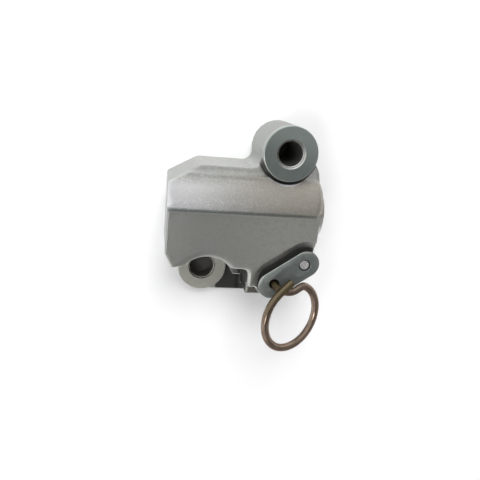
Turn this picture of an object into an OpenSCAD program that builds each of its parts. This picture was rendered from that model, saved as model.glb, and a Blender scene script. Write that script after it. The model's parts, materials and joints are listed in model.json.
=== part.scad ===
// Timing chain tensioner: a die-cast housing with a hydraulic plunger, its check valve, a ratchet pawl on a
// turning shaft, a release lever and a pull-ring stop pin. Millimetres. The origin is the axis of the upper
// bolt hole on the mounting face, +Z towards the bolt head, +X the way the plunger leaves.

/* [Bolt holes] */
// Diameter of both bolt holes
bolt_d = 6.8; // [6.4:0.1:7.4]
// Chamfer at the mouth of each bolt hole
bolt_chamfer = 0.7; // [0.3:0.05:0.9]
// Diameter of the machined face of the upper boss
boss_d = 15.2; // [14:0.1:15.8]
// Height of the upper boss over the mounting face
boss_h = 19.6; // [18.6:0.1:20.6]
// Width of the spot-face groove round the upper boss
groove_w = 0.9; // [0.5:0.1:1.4]
// Depth of that groove below the ledge
groove_depth = 1.4; // [0.8:0.1:2]
// X of the lower bolt hole
ear_x = -20.4; // [-21:0.1:-19.6]
// Y of the lower bolt hole
ear_y = -38.6; // [-39.2:0.1:-37.8]
// Diameter of the machined face of the lower ear
ear_d = 15.1; // [14.4:0.1:16]
// Height of the lower ear over the mounting face
ear_h = 4.6; // [3.8:0.1:5.6]
// Height of the flange between the ear and the foot
flange_h = 2.2; // [1.6:0.1:3]
// Taper of the pocket wall over the ear
pocket_draft = 0.9; // [0.4:0.1:1.2]

/* [Casting] */
// X of the left wall
left_x = -32.5; // [-34:0.1:-31.8]
// X of the right wall
right_x = 10.5; // [10:0.1:11.5]
// How far the right wall leans in at its upper end
right_lean = 1.2; // [0.8:0.1:1.6]
// Y of the top wall
top_y = -4.8; // [-5.4:0.1:-4.2]
// Run of the slanted upper left corner
corner_run = 8.5; // [6:0.1:10]
// Drop of the slanted upper left corner
corner_drop = 4.9; // [3.5:0.1:6]
// Height of the ledge along the top wall
ledge_h = 17.4; // [16.6:0.1:18]
// Width of that ledge
ledge_w = 1.9; // [1.4:0.1:2.2]
// Rise of the shelf between the ledge and the barrel
shelf_rise = 1.5; // [1:0.1:2]
// Height of the plain main face
main_h = 20.4; // [20:0.1:21]
// Width of the chamfer along the left edge of the main face
edge_chamfer = 1.2; // [0.6:0.1:1.6]
// Y of the bottom wall
bottom_y = -33.6; // [-34.4:0.1:-33]
// Run of the cut lower left corner
low_corner_run = 2; // [1:0.1:3]
// Drop of the cut lower left corner
low_corner_drop = 4; // [2:0.1:5]
// X of the left side of the post beside the lever
post_x = -8.5; // [-9.4:0.1:-7.8]
// Y of the lower end of the post
post_y = -39.2; // [-40:0.1:-38.4]
// Radius of the inside corner between the post and the bottom wall
post_fillet = 1.5; // [0.8:0.1:2.2]
// Radius of the inside corner between the top wall and the upper boss
boss_fillet = 3; // [2:0.1:4]

/* [Barrel] */
// Y of the bore axis
bore_y = -17.3; // [-17.8:0.1:-16.8]
// Height of the bore axis
bore_z = 13.3; // [12.8:0.1:13.6]
// Radius of the barrel's outer skin
barrel_r = 9.2; // [8.9:0.1:9.5]
// Distance from the bore axis up to the axis of that skin
barrel_shift = 2; // [1.6:0.1:2.4]
// Wall of the nose round the mouth of the bore
nose_wall = 0.95; // [0.8:0.05:1.2]
// How far the nose stands out of the right wall
nose_reach = 1.1; // [0.5:0.1:2]
// Radius of the rounded shoulder between the barrel and the main face
shoulder_r = 2.6; // [2.2:0.1:2.8]
// How far the shoulder crest stands over the barrel
shoulder_rise = 0.15; // [0.1:0.05:0.3]
// Distance from the axis of the barrel's skin down to the crease at the main face
crease_drop = 1.9; // [1.6:0.1:2.4]
// X of the bottom of the bore
bore_end_x = -26.5; // [-27:0.1:-25.8]

/* [Plunger and ratchet] */
// Diameter of the plunger
plunger_d = 12; // [11.6:0.1:12.4]
// Wall of the plunger
plunger_wall = 2.1; // [1.9:0.05:2.3]
// Thickness of the plunger's closed end
plunger_end = 3.2; // [2.4:0.1:4]
// How far the plunger tip lies inside the nose
tip_inset = 0.3; // [0:0.1:0.8]
// Diameter of the bleed hole in the plunger's end
bleed_d = 0.8; // [0.5:0.1:1.2]
// Thickness of the vent disc behind the plunger's end
vent_t = 1.2; // [0.8:0.1:1.6]
// Pitch of the ratchet teeth
tooth_pitch = 1.8; // [1.5:0.1:2]
// Depth of the ratchet teeth
tooth_depth = 0.8; // [0.6:0.05:0.9]
// Number of teeth in the rack
tooth_count = 10; // [10:1:12]
// Depth of the flat that the teeth are cut in
rack_flat = 0.5; // [0.4:0.05:0.6]
// Distance from the plunger tip to the first tooth
rack_start = 1.5; // [1.2:0.1:2.2]
// Width of the pawl along its shaft
pawl_w = 5; // [4:0.1:5.4]
// Radius of the pawl's hub
pawl_hub_r = 2.6; // [2.4:0.1:2.8]
// Wire diameter of the plunger spring
plunger_wire_d = 0.7; // [0.6:0.05:0.8]
// Turns of the plunger spring
plunger_turns = 13; // [9:1:15]
// Wire diameter of the pawl spring
pawl_wire_d = 0.45; // [0.35:0.05:0.55]
// Outer diameter of the pawl spring
pawl_spring_d = 3.2; // [2.8:0.1:3.4]
// Turns of the pawl spring
pawl_turns = 5; // [4:1:7]

/* [Check valve] */
// Thickness of the valve seat
seat_t = 1.8; // [1.4:0.1:2.2]
// Diameter of the hole in the seat
seat_hole_d = 2.4; // [2:0.1:2.6]
// Diameter of the check ball
ball_d = 3.5; // [3.2:0.1:3.8]
// Height of the cage over the seat
cage_h = 6; // [5.6:0.1:6.6]
// Sheet thickness of the cage
cage_t = 0.5; // [0.4:0.05:0.6]
// Width of the cage's flange
cage_flange = 0.9; // [0.7:0.05:1]
// Wire diameter of the check spring
check_wire_d = 0.3; // [0.25:0.05:0.35]
// Turns of the check spring
check_turns = 4; // [3:1:5]
// Diameter of the oil passages
oil_d = 3; // [2.4:0.1:3.2]

/* [Lever and stop pin] */
// X of the lever's pivot
pivot_x = 7.5; // [7.2:0.1:7.7]
// Y of the lever's pivot
pivot_y = -31.2; // [-31.6:0.1:-30.8]
// Diameter of the pawl shaft
shaft_d = 2.8; // [2.6:0.1:3]
// Distance from the pivot to the stop-pin hole
lever_reach = 10.3; // [10:0.1:10.8]
// Direction of the lever, counted from +X
lever_angle = 215.8; // [214:0.2:218]
// Radius of the lever's round ends
lever_r = 3.9; // [3.6:0.1:4.1]
// Thickness of the lever plate
lever_t = 1.5; // [1.2:0.1:1.7]
// Depth of the counterbore round the staked end of the shaft
stake_depth = 0.8; // [0.5:0.1:1]
// Depth of the recess under the lever, from the main face
recess_depth = 1.8; // [1.5:0.1:2.2]
// Gap between the recess floor and the lever
lever_lift = 1.1; // [0.8:0.1:1.4]
// Spread of the recess round the lever at the main face
recess_spread = 2.9; // [2.6:0.1:3.4]
// Diameter of the stop-pin hole in the lever
stop_hole_d = 2.9; // [2.8:0.1:3.2]
// Wire diameter of the stop pin
pin_wire_d = 2.3; // [2:0.1:2.4]
// Depth of the stop pin in the housing
pin_depth = 3.2; // [2.6:0.1:3.6]
// Mean radius of the pull ring
ring_r = 9.75; // [9.4:0.05:10.2]
// Tilt of the pull ring
ring_tilt = 28; // [25:0.1:30]

/* [Hidden] */
$fn = 64;
running_gap = 0.05;
seat_gap = 0.02;
side_gap = 0.2;
closed_rise = 0.35;
tooth_gap = 0.15;
join = 0.01;
bite = 0.03;
cut = 1;
bolt_r = bolt_d / 2;
boss_r = boss_d / 2;
ear_r = ear_d / 2;
bore_r = plunger_d / 2 + running_gap;
barrel_y = bore_y + barrel_shift;
barrel_end_x = right_x - right_lean;
nose_r = bore_r + nose_wall;
nose_x = right_x + nose_reach;
crest_z = bore_z + barrel_r;
crease_y = barrel_y - crease_drop;
shoulder_y = crease_y + shoulder_r;
shoulder_z = crest_z + shoulder_rise - shoulder_r;
shelf_y = top_y - ledge_w;
web_turn = -10;
// The foot and the flange along the bottom
foot_margin = 1.5;
foot_r = lever_r + foot_margin;
pivot_boss_r = lever_r - side_gap;
pivot_ring_w = 1;
ring_gap = 0.1;
flange_reach = 0.75;
flange_y = ear_y - ear_r - flange_reach;
pocket_gap = 0.1;
edge_slope = 25;
step_h = 12;
step_reach_x = 1;
step_reach_y = 1.6;
notch_gap = 1.3;
notch_ledge_h = 15.5;
notch_ledge_w = 5.2;
notch_ledge_reach = 3.2;
// The plunger and its rack
plunger_r = plunger_d / 2;
tip_x = nose_x - tip_inset;
seat_face_x = bore_end_x + seat_t;
back_gap = 1.3;
plunger_back_x = seat_face_x + back_gap;
plunger_in_r = plunger_r - plunger_wall;
vent_x = tip_x - plunger_end - vent_t;
rack_x = tip_x - rack_start;
crest_y = bore_y - plunger_r + rack_flat;
tooth_ramp = 0.72;
tooth_root = 0.8;
tooth_back = 0.9;
// The check valve
ball_r = ball_d / 2;
ball_x = seat_face_x + sqrt(ball_r * ball_r - seat_hole_d * seat_hole_d / 4) + seat_gap;
ball_room = 0.5;
cage_in_r = ball_r + ball_room;
cage_band = 0.7;
cage_window = 0.9;
cage_out_r = cage_in_r + cage_t;
cage_top_x = seat_face_x + cage_h;
check_coil_r = 1;
check_start_x = ball_x + sqrt(ball_r * ball_r - check_coil_r * check_coil_r) + check_wire_d / 2 + seat_gap;
oil_x = (left_x + bore_end_x) / 2;
oil_seal_w = 0.8;
oil_seal_d = oil_d + 2 * oil_seal_w;
oil_seal_depth = 1;
// The pawl in its pocket
shaft_r = shaft_d / 2;
pawl_z = bore_z - pawl_w / 2;
pocket_w = pawl_w + 2 * side_gap;
hub_gap = 0.3;
pocket_r = pawl_hub_r + hub_gap;
pawl_root_x = pawl_hub_r - side_gap;
pawl_tip_x = 0.9;
shaft_low_z = 2.5;
pawl_top_y = crest_y - tooth_gap;
heel_gap = 0.4;
heel_drop = 0.8;
heel_rise = 2.2;
heel_margin = 0.1;
heel_r = pawl_spring_d / 2 + heel_margin;
heel_x = pivot_x - pawl_hub_r - heel_r + side_gap;
heel_y = pivot_y + heel_rise;
heel_w = pivot_x - heel_x + heel_r - shaft_r - heel_gap;
spring_roof_wall = 1.6;
spring_roof_y = bore_y - bore_r - spring_roof_wall;
// The lever and its recess
floor_z = main_h - recess_depth;
lever_z = floor_z + lever_lift;
lever_top_z = lever_z + lever_t;
stop_x = pivot_x + lever_reach * cos(lever_angle);
stop_y = pivot_y + lever_reach * sin(lever_angle);
recess_gap = 0.7;
lever_tail = 0.5;
lever_nose = 0.9;
recess_short = 0.3;
stake_gap = 0.3;
stake_inset = 0.35;
// The stop pin: up the leg, over the lever and round the ring
pin_r = pin_wire_d / 2;
pin_low_z = floor_z - pin_depth;
pin_end_gap = 0.3;
neck_gap = 0.3;
neck_z = lever_top_z + pin_r + neck_gap;
ring_reach_x = 5.6;
ring_drop_y = 9.2;
ring_x = stop_x + ring_reach_x;
ring_y = stop_y - ring_drop_y;
ring_rise = 0.6;
ring_z = neck_z + ring_rise;
ring_start = 66;
ring_sweep = 300;
ring_steps = 52;
free_end = 5.5;
free_end_lift = 0.3;
tail_steps = 3;
neck_steps = 12;
neck_bend = 2;
neck_run = 5;
neck_dip = 1.7;
neck_fall = 0.05;
neck_yaw = 0.12;
neck_pitch = 0.1;
neck_pull = 1.5;
bend_pull = 3.2;
leg_lap = 0.4;

// Wire sweeps: rings of points round a path, each set square to the path by a vector that lies across it
function unit(v) = v / norm(v);
function sweep_rings(path, r, sides, ups) = [
    for (i = [0 : len(path) - 1])
        let (
            ahead = path[min(i + 1, len(path) - 1)],
            behind = path[max(i - 1, 0)],
            along = unit(ahead - behind),
            side = unit(cross(ups[i], along)),
            rise = cross(along, side)
        )
        for (k = [0 : sides - 1])
            path[i] + r * (cos(360 * k / sides) * side + sin(360 * k / sides) * rise)
];
function sweep_walls(count, sides) = [
    for (i = [0 : count - 2])
        for (k = [0 : sides - 1])
            let (a = i * sides + k, b = i * sides + (k + 1) % sides)
            for (face = [[a, b + sides, b], [a, a + sides, b + sides]])
                face
];

module wire(path, r, sides, ups) {
    count = len(path);
    start_cap = [[for (k = [0 : sides - 1]) k]];
    end_cap = [[for (k = [sides - 1 : -1 : 0]) (count - 1) * sides + k]];
    polyhedron(
        points = sweep_rings(path, r, sides, ups),
        faces = concat(sweep_walls(count, sides), start_cap, end_cap),
        convexity = 10
    );
}

// A coil along +Z from z = 0, with closed end turns
function coil_climb(s, turns) =
    s < 1 ? s * closed_rise :
    s > turns - 1 ? turns - 2 + (s - turns + 2) * closed_rise :
    closed_rise + s - 1;
module coil(mean_r, wire_d, length, turns, per_turn = 14, sides = 6) {
    rise = (length - wire_d) / coil_climb(turns, turns);
    path = [for (i = [0 : turns * per_turn])
        let (s = i / per_turn)
        [mean_r * cos(360 * s), mean_r * sin(360 * s), wire_d / 2 + rise * coil_climb(s, turns)]];
    wire(path, wire_d / 2, sides, [for (p = path) [0, 0, 1]]);
}

// A cylinder or cone along +X from x0 to x1 at the height of the bore axis
module bore_cylinder(r, x0, x1, r2 = -1, y = bore_y) {
    translate([x0, y, bore_z])
        rotate([0, 90, 0])
            cylinder(r1 = r, r2 = r2 < 0 ? r : r2, h = x1 - x0);
}

// The fill of an inside corner at the origin between +X and +Y walls, whose arc bites into both
module corner_fill(r, h) {
    linear_extrude(h)
        difference() {
            translate([-bite, -bite])
                square(r);
            translate([r - bite, r - bite])
                circle(r);
        }
}

// Housing
module casting_outline() {
    polygon([
        [left_x, bottom_y + low_corner_drop], [left_x + low_corner_run, bottom_y], [stop_x, bottom_y],
        [pivot_x, pivot_y], [right_x, pivot_y], [right_x, bore_y + nose_r], [barrel_end_x, top_y],
        [(boss_r - join) * cos(web_turn), (boss_r - join) * sin(web_turn)], [0, top_y],
        [left_x + corner_run, top_y], [left_x, top_y - corner_drop]
    ]);
}

module main_outline() {
    polygon([
        [left_x, shoulder_y], [left_x, bottom_y + low_corner_drop], [left_x + low_corner_run, bottom_y],
        [post_x, bottom_y], [post_x, post_y], [stop_x, post_y], [pivot_x, pivot_y],
        [right_x, pivot_y], [right_x, shoulder_y]
    ]);
}

module barrel() {
    length = barrel_end_x - left_x;
    intersection() {
        union() {
            difference() {
                union() {
                    bore_cylinder(barrel_r, left_x, barrel_end_x, y = barrel_y);
                    bore_cylinder(barrel_r, barrel_end_x - join, right_x, barrel_r - right_lean, barrel_y);
                }
                translate([left_x - cut, shoulder_y - 4 * barrel_r, 0])
                    cube([right_x - left_x + 2 * cut, 4 * barrel_r, 4 * barrel_r]);
            }
            translate([left_x, shoulder_y, shoulder_z])
                rotate([0, 90, 0]) {
                    cylinder(r = shoulder_r, h = length);
                    translate([0, 0, length - join])
                        cylinder(r1 = shoulder_r, r2 = shoulder_r - right_lean, h = right_lean);
                }
            translate([left_x, shoulder_y - join, ledge_h - cut])
                cube([-left_x - boss_r / 2, shelf_y - shoulder_y, shelf_rise + cut]);
        }
        linear_extrude(crest_z + cut)
            casting_outline();
    }
}

module boss_corner() {
    reach = boss_r + boss_fillet;
    arc_y = top_y + boss_fillet;
    arc_x = -sqrt(reach * reach - arc_y * arc_y);
    linear_extrude(ledge_h)
        difference() {
            polygon([[arc_x, arc_y], [arc_x, top_y - cut], [-boss_r / 2, top_y - cut],
                [arc_x * (boss_r - cut) / reach, arc_y * (boss_r - cut) / reach]]);
            translate([arc_x + bite, arc_y - bite])
                circle(boss_fillet);
        }
}

module ear() {
    translate([ear_x, ear_y, 0])
        cylinder(r = ear_r, h = ear_h);
    linear_extrude(flange_h)
        polygon([
            [ear_x, bottom_y + cut], [ear_x, flange_y + flange_reach + side_gap],
            [ear_x + ear_r / 2, flange_y], [stop_x - foot_r / 2, flange_y], [stop_x, bottom_y + cut]
        ]);
}

module foot() {
    hull() {
        translate([stop_x, stop_y, 0])
            cylinder(r = foot_r, h = floor_z, $fn = 48);
        translate([pivot_x, pivot_y, 0])
            cylinder(r = pivot_boss_r, h = floor_z, $fn = 48);
    }
    translate([stop_x - foot_r - step_reach_x, stop_y - foot_r - step_reach_y, 0])
        cube([foot_r, foot_r, step_h]);
}

module notch_ledge() {
    translate([post_x - notch_gap - notch_ledge_w, bottom_y - notch_ledge_reach, 0])
        cube([notch_ledge_w, notch_ledge_reach + cut, notch_ledge_h]);
}

module lever_recess() {
    hull()
        for (along = [-lever_tail, lever_reach - recess_short])
            translate([pivot_x + along * cos(lever_angle), pivot_y + along * sin(lever_angle), floor_z])
                cylinder(r1 = lever_r + recess_gap, r2 = lever_r + recess_spread, h = recess_depth + join,
                    $fn = 48);
}

module bolt_hole(h) {
    translate([0, 0, -cut])
        cylinder(r = bolt_r, h = h + 2 * cut);
    translate([0, 0, h - bolt_chamfer])
        cylinder(r1 = bolt_r, r2 = bolt_r + bolt_chamfer + join, h = bolt_chamfer + join);
}

module pawl_pocket() {
    translate([0, 0, bore_z - pocket_w / 2]) {
        translate([pivot_x, pivot_y, 0])
            cylinder(r = pocket_r, h = pocket_w);
        translate([pivot_x - pocket_r + bite, pivot_y, 0])
            cube([nose_x - pivot_x + pocket_r + cut, bore_y - pivot_y, pocket_w]);
        translate([heel_x - heel_r - heel_gap, pivot_y - heel_drop - heel_gap, 0])
            cube([pivot_x - heel_x, spring_roof_y - pivot_y + heel_drop + heel_gap, pocket_w]);
    }
}

// The slanted strip along the left edge of the main face
module left_edge_cut() {
    length = crease_y - bottom_y + cut;
    translate([left_x, bottom_y - cut, main_h])
        rotate([0, edge_slope, 0])
            translate([-edge_chamfer * 4, 0, -edge_chamfer / 2])
                cube([edge_chamfer * 4, length, edge_chamfer * 2]);
}

module oil_passages() {
    bore_cylinder(oil_d / 2, oil_x, bore_end_x + cut);
    translate([oil_x, bore_y, -cut])
        cylinder(d = oil_d, h = bore_z + cut);
    translate([oil_x, bore_y, -cut])
        cylinder(d = oil_seal_d, h = cut + oil_seal_depth);
}

module housing() {
    color([0.62, 0.62, 0.60])
        difference() {
            union() {
                difference() {
                    union() {
                        linear_extrude(ledge_h)
                            casting_outline();
                        linear_extrude(main_h)
                            main_outline();
                        barrel();
                        bore_cylinder(nose_r, right_x - cut, nose_x);
                        boss_corner();
                        ear();
                        notch_ledge();
                        translate([post_x + join, bottom_y + join, 0])
                            rotate(180)
                                corner_fill(post_fillet, main_h - bite);
                    }
                    translate([0, 0, ledge_h - groove_depth])
                        cylinder(r = boss_r + groove_w, h = crest_z);
                    lever_recess();
                    translate([ear_x, ear_y, ear_h])
                        cylinder(r1 = ear_r + pocket_gap, r2 = ear_r + pocket_draft,
                            h = main_h - ear_h + cut);
                    left_edge_cut();
                }
                cylinder(r = boss_r, h = boss_h);
                foot();
                translate([pivot_x, pivot_y, floor_z - cut])
                    cylinder(r = shaft_r + pivot_ring_w, h = lever_lift + cut - ring_gap);
            }
            bolt_hole(boss_h);
            translate([ear_x, ear_y, 0])
                bolt_hole(ear_h);
            bore_cylinder(bore_r, bore_end_x, nose_x + cut);
            pawl_pocket();
            oil_passages();
            translate([pivot_x, pivot_y, shaft_low_z])
                cylinder(r = shaft_r + running_gap, h = main_h + cut);
            translate([stop_x, stop_y, pin_low_z - pin_end_gap])
                cylinder(r = pin_r + side_gap, h = main_h);
        }
}

// Plunger with its rack
module rack_cut() {
    translate([0, 0, bore_z - plunger_r])
        linear_extrude(plunger_d)
            union() {
                translate([rack_x - tooth_count * tooth_pitch, crest_y - plunger_r])
                    square([tooth_count * tooth_pitch + rack_start + cut, plunger_r]);
                for (i = [0 : tooth_count - 1])
                    translate([rack_x - (i + 1) * tooth_pitch, crest_y])
                        polygon([[0, -cut], [0, seat_gap], [tooth_pitch * tooth_ramp, tooth_depth],
                            [tooth_pitch * tooth_root, tooth_depth], [tooth_pitch * tooth_back, -cut]]);
            }
}

module plunger() {
    length = tip_x - plunger_back_x;
    edge = 0.6;
    color([0.70, 0.71, 0.72])
        difference() {
            translate([plunger_back_x, bore_y, bore_z])
                rotate([0, 90, 0])
                    rotate_extrude()
                        polygon([
                            [plunger_in_r, 0], [plunger_r - edge, 0], [plunger_r, edge],
                            [plunger_r, length - edge], [plunger_r - edge, length], [bleed_d / 2, length],
                            [bleed_d / 2, length - plunger_end], [plunger_in_r, length - plunger_end]
                        ]);
            rack_cut();
        }
}

module vent_disc() {
    color([0.55, 0.50, 0.40])
        difference() {
            bore_cylinder(plunger_in_r - running_gap, vent_x, vent_x + vent_t);
            bore_cylinder(bleed_d / 2, vent_x - cut, vent_x + vent_t + cut);
        }
}

module plunger_spring() {
    start_x = seat_face_x + cage_t;
    length = vent_x - start_x - seat_gap;
    coil_r = plunger_in_r - side_gap - plunger_wire_d / 2;
    color([0.45, 0.46, 0.48])
        translate([start_x, bore_y, bore_z])
            rotate([0, 90, 0])
                coil(coil_r, plunger_wire_d, length, plunger_turns, 12);
}

// Check valve at the bottom of the bore
module check_valve_seat() {
    color([0.60, 0.60, 0.58])
        difference() {
            bore_cylinder(bore_r - running_gap, bore_end_x, seat_face_x);
            bore_cylinder(seat_hole_d / 2, bore_end_x - cut, seat_face_x + cut);
        }
}

module check_valve_ball() {
    color([0.80, 0.81, 0.83])
        translate([ball_x, bore_y, bore_z])
            sphere(ball_r);
}

module check_valve_spring() {
    start_x = check_start_x - check_wire_d / 2;
    length = cage_top_x - cage_t - start_x - seat_gap;
    color([0.70, 0.70, 0.70])
        translate([start_x, bore_y, bore_z])
            rotate([0, 90, 0])
                coil(check_coil_r, check_wire_d, length, check_turns);
}

module check_valve_cage() {
    side_window = cage_out_r * cage_window;
    window_edge = cage_t + cage_band;
    color([0.66, 0.64, 0.56])
        difference() {
            union() {
                bore_cylinder(cage_out_r, seat_face_x, cage_top_x);
                bore_cylinder(cage_out_r + cage_flange, seat_face_x, seat_face_x + cage_t);
            }
            bore_cylinder(cage_in_r, seat_face_x - cut, cage_top_x - cage_t);
            bore_cylinder(check_coil_r - side_gap, seat_face_x, cage_top_x + cut);
            for (turn = [0, 120, 240])
                translate([seat_face_x + window_edge, bore_y, bore_z])
                    rotate([turn, 0, 0])
                        translate([0, 0, -side_window / 2])
                            cube([cage_h - 2 * window_edge, cage_out_r + cut, side_window]);
        }
}

// Pawl, its shaft and its spring
module pawl_arm() {
    polygon([
        [pivot_x - pawl_root_x, pivot_y], [pivot_x - pawl_tip_x, pawl_top_y - 2 * tooth_pitch],
        [pivot_x - pawl_tip_x, pawl_top_y - tooth_depth], [pivot_x, pawl_top_y],
        [pivot_x + tooth_pitch * (1 - tooth_root), pawl_top_y - tooth_depth],
        [pivot_x + tooth_pitch * tooth_root, pawl_top_y],
        [pivot_x + pawl_root_x, pawl_top_y - tooth_depth], [pivot_x + pawl_root_x, pivot_y]
    ]);
}

module pawl() {
    color([0.42, 0.43, 0.45])
        translate([0, 0, pawl_z])
            difference() {
                union() {
                    translate([pivot_x, pivot_y, 0])
                        cylinder(r = pawl_hub_r, h = pawl_w);
                    linear_extrude(pawl_w)
                        pawl_arm();
                    translate([heel_x - heel_r, pivot_y - heel_drop, 0])
                        cube([heel_w, heel_rise + heel_drop, pawl_w]);
                }
                translate([pivot_x, pivot_y, -cut])
                    cylinder(r = shaft_r + seat_gap, h = pawl_w + 2 * cut);
            }
}

module pawl_spring() {
    length = spring_roof_y - heel_y - 2 * seat_gap;
    color([0.55, 0.55, 0.56])
        translate([heel_x, heel_y + seat_gap, bore_z])
            rotate([-90, 0, 0])
                coil((pawl_spring_d - pawl_wire_d) / 2, pawl_wire_d, length, pawl_turns);
}

module pawl_shaft() {
    head_h = 0.25;
    length = lever_top_z - stake_inset - head_h - shaft_low_z - seat_gap;
    color([0.78, 0.78, 0.78])
        translate([pivot_x, pivot_y, shaft_low_z + seat_gap]) {
            cylinder(r = shaft_r, h = length);
            translate([0, 0, length])
                cylinder(r1 = shaft_r, r2 = shaft_r - head_h, h = head_h);
        }
}

// Lever plate: two round ends and a straight web
module release_lever() {
    color([0.40, 0.43, 0.42])
        translate([pivot_x, pivot_y, lever_z])
            rotate(lever_angle)
                difference() {
                    union() {
                        translate([-lever_tail, 0, 0])
                            cylinder(r = lever_r, h = lever_t);
                        translate([lever_reach + lever_nose, 0, 0])
                            cylinder(r = lever_r, h = lever_t);
                        translate([-lever_tail, -lever_r, 0])
                            cube([lever_reach + lever_nose + lever_tail, 2 * lever_r, lever_t]);
                    }
                    translate([0, 0, -cut])
                        cylinder(r = shaft_r + seat_gap, h = lever_t + 2 * cut);
                    translate([0, 0, lever_t - stake_depth])
                        cylinder(r = shaft_r + stake_gap, h = stake_depth + cut);
                    translate([lever_reach, 0, -cut])
                        cylinder(d = stop_hole_d, h = lever_t + 2 * cut);
                }
}

// Stop pin: a leg, a neck bent over the lever and a pull ring whose free end lies straight over the neck
ring_up = [sin(ring_tilt), 0, cos(ring_tilt)];
ring_side = [cos(ring_tilt), 0, -sin(ring_tilt)];
function ring_point(turn) =
    [ring_x, ring_y, ring_z] + ring_r * (cos(turn) * ring_side + sin(turn) * [0, 1, 0]);
function ring_way(turn) = sin(turn) * ring_side - cos(turn) * [0, 1, 0];
function bezier(a, b, c, d, s) =
    pow(1 - s, 3) * a + 3 * s * pow(1 - s, 2) * b + 3 * s * s * (1 - s) * c + pow(s, 3) * d;

leg_top = [stop_x, stop_y, neck_z - neck_bend];
neck_mid = [stop_x + neck_run, stop_y - neck_dip, neck_z - neck_fall];
neck_way = unit([1, neck_yaw, -neck_pitch]);
ring_end = ring_start - ring_sweep;
pin_bend = [for (i = [0 : neck_steps - 1])
    bezier(leg_top, leg_top + [0, 0, neck_bend + leg_lap], neck_mid - bend_pull * neck_way, neck_mid,
        i / neck_steps)];
pin_neck = [for (i = [0 : neck_steps / 2 - 1])
    bezier(neck_mid, neck_mid + neck_pull * neck_way,
        ring_point(ring_start) - neck_pull * ring_way(ring_start), ring_point(ring_start),
        i * 2 / neck_steps)];
pin_ring = [for (i = [0 : ring_steps]) ring_point(ring_start - ring_sweep * i / ring_steps)];
pin_tail = [for (i = [1 : tail_steps])
    let (s = i / tail_steps)
    ring_point(ring_end) + s * free_end * ring_way(ring_end) + s * s * free_end_lift * [0, 0, 1]];

module stop_pin() {
    path = concat(pin_bend, pin_neck, pin_ring, pin_tail);
    ups = [for (i = [0 : len(path) - 1])
        let (s = min(1, i / neck_steps))
        (1 - s) * [-1, 0, 0] + s * ring_up];
    color([0.45, 0.38, 0.34]) {
        translate([stop_x, stop_y, pin_low_z])
            cylinder(r = pin_r, h = leg_top[2] + leg_lap - pin_low_z);
        wire(path, pin_r - seat_gap, 10, ups);
    }
}

housing();
plunger();
vent_disc();
plunger_spring();
check_valve_seat();
check_valve_ball();
check_valve_spring();
check_valve_cage();
pawl();
pawl_spring();
pawl_shaft();
release_lever();
stop_pin();
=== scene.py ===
import json
import math

import bmesh
import bpy
import numpy as np
from mathutils import Matrix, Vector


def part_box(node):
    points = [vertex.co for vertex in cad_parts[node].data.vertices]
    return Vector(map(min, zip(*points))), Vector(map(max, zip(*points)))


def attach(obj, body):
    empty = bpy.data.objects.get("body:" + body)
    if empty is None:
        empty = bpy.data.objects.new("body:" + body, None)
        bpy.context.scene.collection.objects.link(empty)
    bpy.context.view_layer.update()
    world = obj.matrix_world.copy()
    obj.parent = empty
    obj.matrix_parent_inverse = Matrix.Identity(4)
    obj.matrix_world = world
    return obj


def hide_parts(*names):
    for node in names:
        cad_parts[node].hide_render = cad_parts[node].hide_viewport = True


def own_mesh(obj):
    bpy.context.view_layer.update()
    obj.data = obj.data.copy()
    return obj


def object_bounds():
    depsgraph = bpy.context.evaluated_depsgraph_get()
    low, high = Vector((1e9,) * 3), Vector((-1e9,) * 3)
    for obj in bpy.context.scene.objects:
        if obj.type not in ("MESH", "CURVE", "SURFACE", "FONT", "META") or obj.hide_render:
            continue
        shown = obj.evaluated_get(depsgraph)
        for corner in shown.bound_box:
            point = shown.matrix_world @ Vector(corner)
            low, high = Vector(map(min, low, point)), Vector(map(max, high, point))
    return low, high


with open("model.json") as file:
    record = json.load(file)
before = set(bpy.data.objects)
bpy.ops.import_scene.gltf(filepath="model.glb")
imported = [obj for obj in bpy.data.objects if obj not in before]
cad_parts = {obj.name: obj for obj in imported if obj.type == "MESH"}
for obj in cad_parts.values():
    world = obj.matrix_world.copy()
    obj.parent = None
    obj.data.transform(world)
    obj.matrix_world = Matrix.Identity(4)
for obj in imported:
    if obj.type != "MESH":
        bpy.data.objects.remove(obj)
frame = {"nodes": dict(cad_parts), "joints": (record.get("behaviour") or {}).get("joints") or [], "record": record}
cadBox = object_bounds()
mm = 0.001
print("frame:", len(frame["nodes"]), "nodes")

mounts = {m["name"]: m for m in frame["record"]["mounts"]}
joints = {j["name"]: j for j in frame["joints"]}
pivot = np.array(joints["lever_turn"]["pos_m"])
leverWay = {"reach": 10.3 * mm, "angle": math.radians(215.8)}  # from the pivot to the stop pin's hole
stopAt = pivot + leverWay["reach"] * np.array([math.cos(leverWay["angle"]), math.sin(leverWay["angle"]), 0])


def tone(red, green, blue):  # a matched colour, 0 to 255, as the linear colour that a shader takes
    eye = np.array([red, green, blue]) / 255
    linear = np.where(eye <= 0.04045, eye / 12.92, ((eye + 0.055) / 1.055) ** 2.4)
    return tuple(float(v) for v in linear) + (1.0,)


def lengths(**values):  # lengths given in millimetres, as metres
    return {name: value * mm for name, value in values.items()}


# The camera: a pinhole whose uprights run to one pixel and whose rows lean by one slope
lens = {"focal": 520.0, "frame": 480.0, "uprightsMeet": (157.0, 75.0), "rowSlope": 3.2,
        "rowAt": (245.0, 212.0), "bossAt": (291.6, 154.5), "holePixels": 25.1, "bossShare": 0.125}


def pixelRay(pixel):  # the way from the eye through a pixel: right, up and one unit ahead
    middle = lens["frame"] / 2
    return np.array([pixel[0] - middle, middle - pixel[1], -lens["focal"]]) / lens["focal"]


def unit(vector):
    return vector / np.linalg.norm(vector)


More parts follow.
